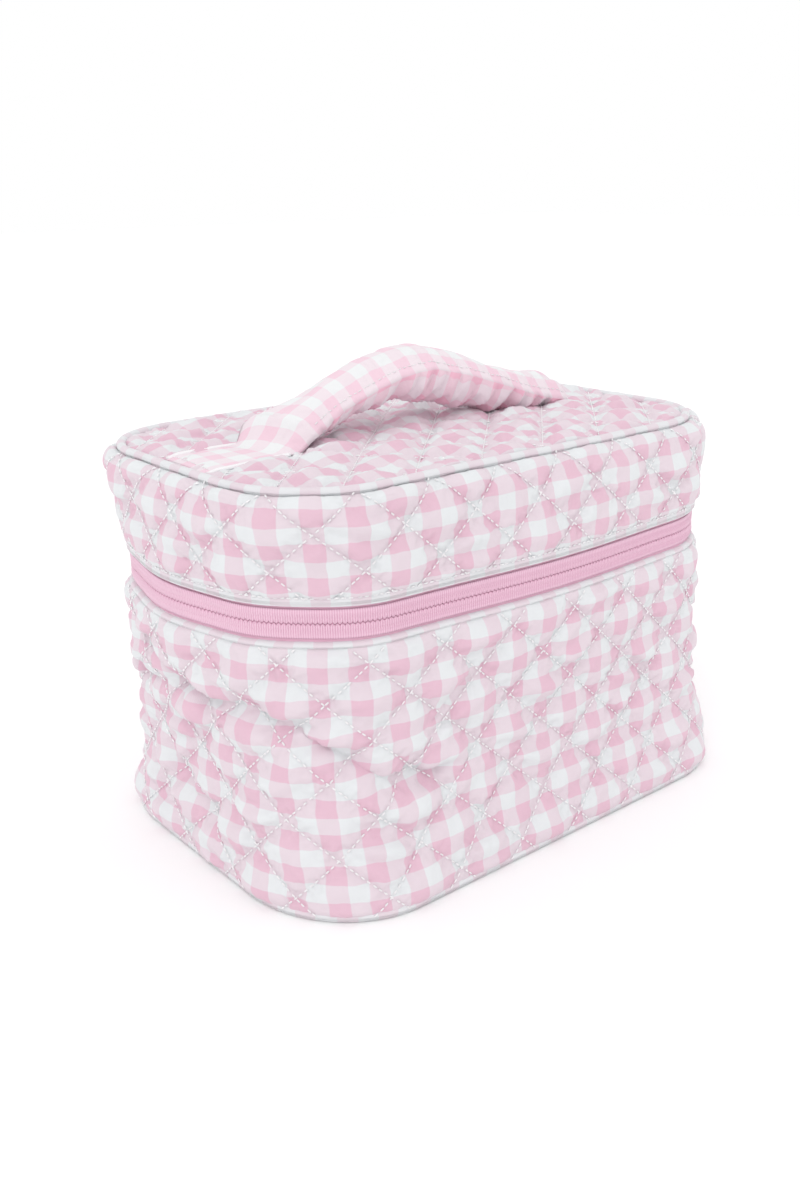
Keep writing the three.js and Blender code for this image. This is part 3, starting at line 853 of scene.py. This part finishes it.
def zip_half(side, prefix, body):
    """One tape (side 1 above the closing line, -1 below) and the ribbed band of its coil."""
    across = np.sort(side * np.linspace(0.04, TAPE_WIDTH, 11))
    s, z = np.meshgrid(np.linspace(ZIP_START, ZIP_END, 420), ZIP_MID + across)
    tape = wall_point(s, z, TAPE_OUT + 0.12 * ripple(s, z, 6, 21))
    piece = make_piece(prefix + "_tape", *shell(tape, 0.45), TAPE, body, "zipper_tape",
                       uv=twice(np.stack([run_at(s), z], -1)), replaces=[prefix + "_zipper_tape"])

    s = np.arange(ZIP_START + 2, COIL_END, RIB / 4)
    s, row = np.meshgrid(s, np.linspace(0, 1, 10))
    share = row if side > 0 else 1 - row                       # 0 at the closing line, 1 at the outer edge
    tooth = TOOTH * np.sin(math.pi * s / RIB)
    near = 0.03 + (tooth if side > 0 else -tooth)
    z = ZIP_MID + side * (near + (COIL_WIDTH - near) * share)
    ribbed = smooth(share, 0.02, 0.1) * (1 - smooth(share, 0.66, 0.8))
    rib = 0.2 * np.cos(2 * math.pi * s / RIB + 1.1 * share) * ribbed
    groove = -0.3 * bump((share - 0.42) / 0.06)
    roll = -0.3 * bump(share / 0.06) - 0.2 * bump((share - 1) / 0.06)
    coil = wall_point(s, z, COIL_OUT + rib + roll + groove + 0.25 * np.sin(math.pi * share))
    make_piece(prefix + "_coil", *shell(coil, 0.5), COIL, body, "zipper_coil",
               uv=twice(np.stack([s, z], -1)), replaces=[prefix + "_zipper_coil"])


def build_hinge():
    """Soft strip that joins base and lid at the back."""
    heights = np.linspace(RIM_TOP - 1.2, HEM_LOW + 1.2, 19)      # it is sewn in under the binding and the hem
    s, z = np.meshgrid(np.linspace(-HINGE_HALF, HINGE_HALF, 141), heights)
    pleats = 0.22 * np.sin(s / 2.3 + 2 * np.sin(s / 19)) * np.sin(math.pi * (z - z.min()) / np.ptp(z))
    grid = wall_point(s, z, -1.7 + pleats)
    piece = make_piece("hinge_cloth", *shell(grid, 1.6), HINGE_CLOTH, None, "gingham",
                       uv=twice(np.stack([s, z], -1)), replaces=["hinge_strip"])
    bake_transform(piece)


# ---- Panels -----------------------------------------------------------------


def panel_reach(x, y):
    """Distance of a point from the neat outline: negative inside it."""
    cx, cy = np.clip(x, -SIDE_X, SIDE_X), np.clip(y, -SIDE_Y, SIDE_Y)
    return np.hypot(x - cx, y - cy) - CORNER, cx, cy


def clamp_to_panel(x, y, offset):
    """The point, or the nearest one on the panel's edge when it lies outside."""
    reach, cx, cy = panel_reach(x, y)
    scale = np.minimum(1, (CORNER + offset) / np.maximum(reach + CORNER, 1e-9))
    return cx + (x - cx) * scale, cy + (y - cy) * scale


def panel(name, node, height, offset, look, slot, body, up=1, puff=0.0, blown=False, thick=CLOTH):
    """Flat cloth cut to the outline; height(x, y) is where its quilting lines lie, up is 1 or -1.

    The blown one is puffed by simulation, except where the strap's tab presses it down.
    """
    phases = TOP_PHASES
    nx, ny = int(HALF_WIDTH / CELL) + 1, int(HALF_DEPTH / CELL) + 1
    x, y = np.meshgrid(np.arange(-nx, nx + 1) * CELL, np.arange(-ny, ny + 1) * CELL)
    keep = panel_reach(x, y)[0] < offset
    px, py = clamp_to_panel(x, y, offset)
    base = settle(px, py, height(px, py))
    held = sewn_lines(*x.shape, *phases) | ~keep
    if blown:
        held |= (np.abs(y - TAB_MID) < TAB_HALF) & (x < STRAP_START - 2)
    rise = puff * up * puff_share(*x.shape, *phases)
    rise[held] = 0
    puffed = base + rise[..., None] * (0, 0, 1)
    if blown:
        gentle = base + 0.5 * rise[..., None] * (0, 0, 1)
        gentle[~held] += RNG.normal(0, 0.04, gentle[~held].shape)
        faces = quilt_triangles(*x.shape, *phases)
        near = keep | np.roll(keep, 1, 0) | np.roll(keep, -1, 0) | np.roll(keep, 1, 1) | np.roll(keep, -1, 1)
        puffed = 0.4 * puffed + 0.6 * swell(gentle, faces[near.ravel()[faces].all(1)], held)
    fine = finer(puffed)
    if puff:
        fine = pucker(fine, *phases, depth=0.4 if blown else 0.2)
    flat = finer(np.stack([x, y], -1))
    outside = panel_reach(flat[..., 0], flat[..., 1])[0] >= offset
    fx, fy = clamp_to_panel(flat[..., 0], flat[..., 1], offset)
    fine[outside] = settle(fx, fy, height(fx, fy))[outside]
    faces = grid_faces(*fine.shape[:2], flip=up < 0)
    faces = faces[(~outside).ravel()[faces].any(1)]
    used = np.unique(faces)
    renumber = np.zeros(outside.size, int)
    renumber[used] = np.arange(len(used))
    points, faces = thicken(fine.reshape(-1, 3)[used], renumber[faces], (0, 0, -up * thick))
    uv = twice(flat.reshape(-1, 2)[used])
    piece = make_piece(name, points, faces, look, body, slot, uv=uv, replaces=[node])
    if puff:
        paths = quilt_paths(base, *phases, lift=0.22 * up, inside=keep)
        if up < 0:
            paths = [(line, -normals) for line, normals in paths]
        sew(name + "_quilting", paths, body, slot)


def crowned(level, crown, roll):
    """Height of a panel with a slight crown, a soft waviness and an edge that rolls down by roll."""
    def height(x, y):
        reach = panel_reach(x, y)[0]
        sway = 0.6 * np.sin(x / 17 + 1.3) * np.sin(y / 14 + 0.4)
        dome = crown * (1 - (x / HALF_WIDTH) ** 2) * (1 - (y / HALF_DEPTH) ** 2)
        return level + dome + sway - roll * smooth(reach, -14, -8)
    return height


def level_at(z):
    return lambda x, y: z + 0 * x


TOP = BODY_TOP + 0.7          # the lid panel's quilting lines at its edge
LID_TOP = crowned(TOP, 1.2, 0.9)


def build_panels():
    panel("lid_panel", "lid_top_outer", LID_TOP, -7.9, TOP_CLOTH, "gingham",
          "lid", puff=0.95 * PUFF, blown=True)
    panel("lid_panel_wadding", "lid_top_batting", crowned(TOP - 1.1, 1.0, 0.9), -9.5, WADDING, "batting",
          "lid", thick=2.2)
    panel("lid_panel_inner", "lid_top_lining", crowned(TOP - 5.6, 0.9, 0.6), -WALL_THICK, LINING, "lining",
          "lid", up=-1, puff=1.0)
    low = node_box("base_floor_outer")[0][2]
    panel("floor_cloth", "base_floor_outer", level_at(low + 0.75), -3.0, FLOOR_CLOTH, "gingham", "base",
          up=-1, puff=0.55)
    panel("floor_wadding", "base_floor_padding", level_at(low + 4.2), -4.5, WADDING, "batting", "base",
          thick=2.6)
    panel("floor_lining", "base_floor_lining", level_at(low + 5.0), -WALL_THICK - 0.4, LINING, "lining",
          "base", puff=0.9)


# ---- Handle -----------------------------------------------------------------

# Along X: height of the side seams, half width, crown above them, belly below them
STRAP = np.array([
    (-110, 154.2, 14.5, 0.5, 0.5), (-79, 154.6, 14.5, 0.6, 0.6), (-76, 156.2, 14.6, 4.4, 1.4),
    (-72, 157.8, 14.6, 6.4, 2.6), (-66, 160.2, 14.6, 6.9, 4.4), (-60, 162.8, 14.6, 7.0, 6.0),
    (-50, 167.4, 14.6, 7.5, 7.5), (-32, 173.8, 14.6, 8.0, 9.0), (-18, 177.0, 14.6, 8.0, 10.5),
    (-5, 178.0, 14.6, 8.0, 13.0), (14, 173.4, 14.4, 8.0, 13.0), (31, 168.0, 14.2, 7.8, 11.5),
    (48, 162.0, 13.9, 8.8, 8.2), (58, 159.2, 13.6, 9.6, 5.4), (65, 157.8, 13.2, 9.6, 4.8),
    (70, 156.6, 12.4, 8.6, 4.0), (74, 155.2, 9.8, 6.6, 3.2), (77.5, 154.0, 5.4, 3.6, 1.8),
    (79.5, 153.4, 2.2, 1.4, 0.8)], float)
STRAP_START, STRAP_END = -71.0, 79.5      # the padded tube lies between these; a flat tab goes on to the left
TIP = (78.0, -4.5)                        # the tube's right end is gathered to this point and sewn down
TAB_MID, TAB_HALF = -1.5, 14.5            # middle and half width of what the flat tab presses down
TAB_LIFT = 0.55                           # height of the tab over the lid's quilting lines
STRAP_FLAT_HALF = 15.0                    # half width of each face of the strap's cloth, laid flat
RIDGE, RIDGE_WIDTH = 0.8, 0.035           # the sewn edge that stands out along each seam
GATHERS, ROLLS = 2.2, 2.0                 # depth of the underside's gathers, and how far they move its edges
DENTS, SEAM_GATHERS, FAN = 0.3, 0.25, 1.3      # soft dents, small gathers at the seams, folds at the tip
BACK_SEAM_RISE = 3.0                      # the back seam rises first, where the tube leaves the tab


def strap_at(x, column):
    return sum(np.interp(x + d, STRAP[:, 0], STRAP[:, column]) for d in (-2.0, -1.0, 0, 1.0, 2.0)) / 5


def strap_grid(inset=0.0, step=1.0, ring=64, wrinkled=True):
    """Closed sections along the strap: the crowned face from back to front, then the underside."""
    x = np.arange(-TAB_END, STRAP_END + step / 2, step)[:, None]
    turn = np.linspace(0, 2, ring, endpoint=False)[None, :] + 0 * x
    upper = turn < 1
    v = np.where(upper, 1 - 2 * turn, 2 * turn - 3)              # 1 at the back seam, -1 at the front seam
    seam, half, crown, belly = (strap_at(x, k) + 0 * v for k in (1, 2, 3, 4))
    tube = smooth(x, STRAP_START - 5, STRAP_START + 1) + 0 * v
    full = 1 - np.abs(v) ** 2.6
    depth = np.where(upper, crown, -belly) * full ** 0.8
    ridge = RIDGE * bump((1 - np.abs(v)) / RIDGE_WIDTH) * tube
    y = v * (half - inset) + np.sign(v) * ridge - 0.4 - 3.6 * smooth(x, 62, 78)
    if wrinkled:
        rolls = np.abs(np.sin(x * 0.36 + v * 1.2 + 0.7 * np.sin(x / 8))) - 0.55
        y = y + np.where(upper, 0, np.sign(v) * ROLLS * rolls * tube * bump((np.abs(v) - 0.8) / 0.22))
        gathers = np.abs(np.sin(x * 0.42 + v * 2.4 + 0.8 * np.sin(x / 9))) - 0.6
        gathers = gathers + 0.3 * np.sin(x * 0.31 - v * 2.7)
        dents = np.sin(x / 11 + 1.2) * np.sin(v * 2.2 + x / 23)
        fan = np.sin(9 * np.arctan2(y - TIP[1], x - TIP[0] - 3) + 0.6)
        folds = FAN * fan * bump(np.hypot(x - 68, y + 3) / 10)
        near_seam = bump((np.abs(v) - 0.86) / 0.16)
        above = DENTS * dents + SEAM_GATHERS * gathers * near_seam + folds * full
        depth = depth + tube * np.where(upper, above, GATHERS * gathers * full ** 0.3)
    slant = -0.38 * y * bump((x - STRAP_START) / 13)
    flat = LID_TOP(x, y) + TAB_LIFT
    seam = seam + BACK_SEAM_RISE * bump((x - STRAP_START - 4) / 9) * np.maximum(v, 0)
    z = flat + tube * (seam - flat) + depth * (1 - inset / 8) + 0.25 * tube * ripple(x * 3, 0, 5, 4)
    return np.stack([x + slant, y, z], -1), v, upper


def strap_seams(points, v, upper):
    """Stitches along both seams of the strap, and round its tab."""
    paths = []
    for side in (-1, 1):
        column = int(np.argmin(np.where(upper[0], np.abs(v[0] - 0.88 * side), 9)))
        line = points[43:-8, column]
        normals = normals_of(points)[43:-8, column]
        paths.append((line + 0.12 * normals, normals))
    inner = points[3, upper[0]]
    paths.append((inner + (0, 0, 0.1), np.tile((0.0, 0.0, 1.0), (len(inner), 1))))
    return paths


def build_strap():
    """One cloth from tab to tip, with the padding of its middle part."""
    points, v, upper = strap_grid()
    rows, cols = v.shape
    x = points[..., 0]
    faces = grid_faces(rows, cols, wrap_cols=True)
    held = (np.abs(v) > 0.93) | (x < STRAP_START - 3) | (x > STRAP_END - 12)
    points = swell(points, faces, held, pressure=1.2, slack=0.02, frames=10, cap=0.7)
    along = lengths_along(points[:, cols // 4])
    uv = np.stack([along[:, None] + 0 * x, np.where(upper, v, -2 - v) * STRAP_FLAT_HALF + 0 * x], -1)
    cloth = make_piece("strap", points, capped(faces, rows, cols), STRAP_CLOTH_PAINTED_TOP_LIGHT, None, "gingham", uv=uv,
                       replaces=["handle_cover", "handle_tab_left", "handle_tab_right"])
    # Faces that lie wholly on the underside take the copy with painted bounce light.
    cloth.data.materials.append(UNDER_CLOTH_PAINTED_BOUNCE)
    below = [not upper[0, k % cols] for k in range(rows * cols)]
    for face in cloth.data.polygons:
        face.material_index = int(all(below[k] for k in face.vertices))
    sides = 32
    fill, _, _ = strap_grid(inset=2.6, step=2.0, ring=sides, wrinkled=False)
    fill = fill[(fill[:, 0, 0] > STRAP_START + 5) & (fill[:, 0, 0] < STRAP_END - 12)]
    faces = capped(grid_faces(len(fill), sides, wrap_cols=True), len(fill), sides)
    stuffing = make_piece("strap_wadding", fill, faces, WADDING, None, "batting", replaces=["handle_filling"])
    sewing = sew("strap_stitches", strap_seams(points, v, upper), None, "gingham", 0.24)
    for soft in (cloth, stuffing, sewing):
        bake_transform(soft)
    for side in (-1, 1):
        px = np.arange(-TAB_END + 0.5, STRAP_START - 3, 1.0)
        py = side * 14.2 - 0.4 + 0 * px
        rings = tube(np.stack([px, py, LID_TOP(px, py) + 0.7], -1), 0.8)
        lofted("tab_seam_" + ("front" if side < 0 else "back"), rings, THREAD, "lid", "gingham")


# ---- Slider and pull --------------------------------------------------------


def lofted(name, rings, material, body, slot, replaces=(), closed=False, uv=None):
    """Skin over a row of closed rings, with flat ends unless the row closes on itself."""
    rings = np.asarray(rings, float)
    rows, cols = rings.shape[:2]
    faces = grid_faces(rows, cols, wrap_rows=closed, wrap_cols=True)
    if not closed:
        faces = capped(faces, rows, cols)
    return make_piece(name, rings, faces, material, body, slot, uv=uv, replaces=replaces)


def tube(path, radius, closed=False, sides=10):
    """Rings of a round wire along a path in the YZ or XZ plane."""
    path = np.asarray(path, float)
    if closed:
        ahead, behind = np.roll(path, -1, 0), np.roll(path, 1, 0)
    else:
        ahead, behind = np.concatenate([path[1:], path[-1:]]), np.concatenate([path[:1], path[:-1]])
    along = ahead - behind
    along /= np.linalg.norm(along, axis=1, keepdims=True)
    plane = np.cross(along, np.roll(along, 3, 0))
    plane = plane[np.argmax(np.linalg.norm(plane, axis=1))]
    plane = np.tile(plane / np.linalg.norm(plane), (len(path), 1))
    side = np.cross(plane, along)
    angle = np.linspace(0, 2 * math.pi, sides, endpoint=False)[None, :, None]
    return path[:, None] + radius * (np.cos(angle) * plane[:, None] + np.sin(angle) * side[:, None])


def rounded_rectangle(half_a, half_b, radius, steps=6):
    """Corner by corner, as (a, b) points."""
    corners = [(1, 1, 0), (-1, 1, 90), (-1, -1, 180), (1, -1, 270)]
    return np.array([(sa * (half_a - radius) + radius * math.cos(math.radians(turn + step * 90 / steps)),
                      sb * (half_b - radius) + radius * math.sin(math.radians(turn + step * 90 / steps)))
                     for sa, sb, turn in corners for step in range(steps + 1)])


def build_slider():
    (x0, y0, z0), (x1, y1, z1) = node_box("slider_body")
    y_mid, z_mid = (y0 + y1) / 2, (z0 + z1) / 2
    outline = rounded_rectangle((y1 - y0) / 2, (z1 - z0) / 2, 2.4)
    outline[:, 1] *= 1 - 0.16 * smooth(outline[:, 0], -1, 5.5)          # narrower at its closed end

    def plate(low, high, name, dome, replaces=()):
        steps = [(low, 0.86), (low + 0.25, 0.97), ((low + high) / 2, 1.0), (high - 0.3, 0.97),
                 (high - 0.08, 0.88), (high + dome, 0.5)]
        rings = [[(x, y_mid + a * grow, z_mid + b * grow) for a, b in outline] for x, grow in steps]
        lofted(name, rings, ENAMEL, "zip_slider", "slider", replaces)

    thick = 1.2
    plate(x1 - thick, x1, "slider_outer_plate", 0.12, ["slider_body"])
    plate(x0, x0 + thick, "slider_inner_plate", 0.0)
    post = rounded_rectangle(1.2, 0.3, 0.28, 3)
    lofted("slider_post", [[(x, y1 - 1.3 + a, z_mid + b) for a, b in post] for x in (x0 + 0.6, x1 - 0.6)],
           ENAMEL, "zip_slider", "slider")
    (x0, y0, z0), (x1, y1, z1) = node_box("slider_bridge")
    turn = np.radians(np.linspace(-90, 90, 19))
    reach = x0 - 0.4 + (x1 - x0 - 0.2) * np.cos(turn) ** 0.5
    arch = np.stack([reach, y_mid + 0 * turn, z_mid + 2.4 * np.sin(turn)], -1)
    lofted("slider_arch", tube(arch, 0.55), ENAMEL, "zip_slider", "slider", ["slider_bridge"])
    build_pull()


def build_pull():
    (x0, y0, z0), (x1, y1, z1) = node_box("pull_ring")
    x_mid, wire = (x0 + x1) / 2, (x1 - x0) / 2
    outline = rounded_rectangle((y1 - y0) / 2 - wire, (z1 - z0) / 2 - wire, 1.8)
    path = [(x_mid, (y0 + y1) / 2 + a, (z0 + z1) / 2 + b) for a, b in outline]
    lofted("pull_wire_ring", tube(path, wire, closed=True), NICKEL, "zip_pull", "ring", ["pull_ring"],
           closed=True)
    (x0, y0, z0), (x1, y1, z1) = node_box("pull_tab")
    eye = z0 + 26.0                                    # the cloth folds round the ring's lower wire here
    rings, uv = [], []
    for z in np.concatenate([np.linspace(z1, eye - 3, 16), np.linspace(eye - 3.6, z0, 34)]):
        fold = (x1 - x0) / 2 * math.sqrt(max(0.02, 1 - ((z - eye) / (z1 - eye)) ** 2)) if z > eye else 0
        half_x = fold or max(0.75, (x1 - x0) / 2 * float(bump((z - eye) / 1.6)))
        half_y = (y1 - y0) / 2 * (1 - 0.5 * float(bump((z - z0) / 0.9)))
        half_y -= 0.25 * float(bump((z - eye + 4) / 3))
        section = rounded_rectangle(half_x, half_y, min(half_x, 0.7) * 0.95, 4)
        uneven = 1 + 0.2 * math.sin(z * 1.7)
        rings.append([((x0 + x1) / 2 + a * uneven, (y0 + y1) / 2 + b, z) for a, b in section])
        uv.append([(b, z) for a, b in section])
    tab = lofted("pull_cloth_tab", rings, PULL_CLOTH, "zip_pull", "gingham", ["pull_tab"], uv=uv)
    paths = []
    for side in (-1, 1):
        for y in (y0 + 1.0, y1 - 1.0):
            z = np.arange(z0 + 1.2, eye - 4, 0.8)
            line = np.stack([(x0 + x1) / 2 + side * 0.8 + 0 * z, y + 0 * z, z], -1)
            paths.append((line, np.tile((float(side), 0.0, 0.0), (len(z), 1))))
    sew("pull_tab_stitches", paths, "zip_pull", "gingham", 0.18)


def carried_over():
    """Gives every CAD node its material; the ones that stay in sight are the zipper's stops."""
    looks = {"batting": WADDING, "lining": LINING, "gingham": TRIM_CLOTH, "binding": TRIM_CLOTH,
             "zipper_tape": TAPE, "zipper_coil": COIL, "slider": ENAMEL, "ring": NICKEL}
    for part in frame["record"]["subparts"]:
        obj = frame["nodes"][part["node"]]
        obj.data.materials.clear()
        obj.data.materials.append(looks[part["material_slot"]])


build_walls()
build_trims()
for side, prefix, body in ((-1, "lower", "base"), (1, "upper", "lid")):
    zip_half(side, prefix, body)
build_hinge()
build_panels()
build_strap()
build_slider()
carried_over()

# ---- Camera, light and floor ------------------------------------------------

AZIMUTH, ELEVATION, ROLL = math.radians(-39.751), math.radians(16.599), math.radians(-0.813)
TARGET = np.array([0, 0, 103.5]) * MM
DISTANCE = 0.51365


def add_camera():
    back = np.array([math.sin(AZIMUTH) * math.cos(ELEVATION), -math.cos(AZIMUTH) * math.cos(ELEVATION),
                     math.sin(ELEVATION)])
    data = bpy.data.cameras.new("camera")
    data.lens, data.sensor_width = 36.349, 36.0
    data.shift_x, data.shift_y = -0.01868, -0.05053
    camera = link("camera", data)
    turn = Matrix.Rotation(AZIMUTH, 3, "Z") @ Matrix.Rotation(math.pi / 2 - ELEVATION, 3, "X")
    camera.rotation_euler = (turn @ Matrix.Rotation(ROLL, 3, "Z")).to_euler()
    camera.location = TARGET + back * DISTANCE
    bpy.context.scene.camera = camera


def add_studio():
    world = bpy.data.worlds.new("studio")
    world.use_nodes = True
    world.node_tree.nodes["Background"].inputs[0].default_value = (1, 1, 1, 1)
    world.node_tree.nodes["Background"].inputs[1].default_value = 1.0
    bpy.context.scene.world = world
    bpy.context.scene.view_settings.view_transform = "Standard"
    sun = bpy.data.lights.new("key", "SUN")
    sun.energy, sun.angle = 0.5, math.radians(28)
    key = link("key", sun)
    key.rotation_euler = (math.radians(42), 0, math.radians(-52))
    mesh = bpy.data.meshes.new("floor")
    reach = 6
    mesh.from_pydata([(-reach, -reach, 0), (reach, -reach, 0), (reach, reach, 0), (-reach, reach, 0)], [],
                     [(0, 1, 2, 3)])
    floor = link("floor", mesh)
    m = Nodes("floor_white")
    m.link(m.mix(m.noise(m.position(), 0.01, 2), linear(255, 255, 255), linear(253, 253, 253)),
           m.shader.inputs["Base Color"])
    m.set(Roughness=0.9)
    mesh.materials.append(m.material)


add_camera()
add_studio()
